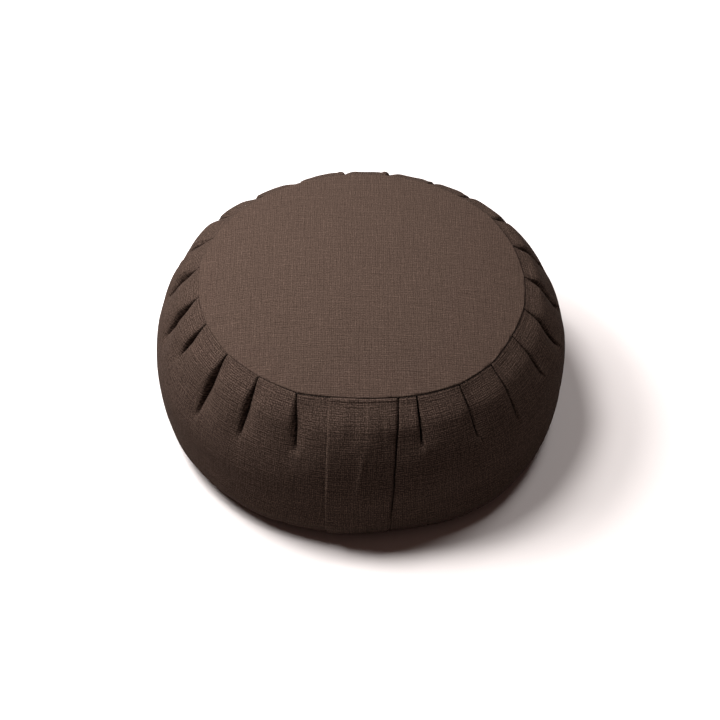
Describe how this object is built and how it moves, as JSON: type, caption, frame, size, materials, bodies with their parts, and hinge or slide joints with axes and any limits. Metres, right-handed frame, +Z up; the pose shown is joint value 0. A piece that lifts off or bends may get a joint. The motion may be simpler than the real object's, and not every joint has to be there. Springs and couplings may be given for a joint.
{
  "type": "zafu meditation cushion",
  "caption": "Round filled floor cushion with a crowned top panel, a plump side strip drawn into knife pleats at both seams, and an upright closure band on its side.",
  "frame": {"origin": "middle of the bottom panel, on the floor", "axes": "+Z up through the middle of the top panel, -Y out through the closure band"},
  "size_m": [0.35, 0.3508, 0.146],
  "materials": {
    "side_cloth": "matte dark brown slub linen weave",
    "panel_cloth": "matte dark brown slub linen weave"
  },
  "bodies": {
    "root": {"pleated_side": "side_cloth", "top_panel": "panel_cloth", "bottom_panel": "panel_cloth", "closure_band": "side_cloth"}
  },
  "joints": []
}
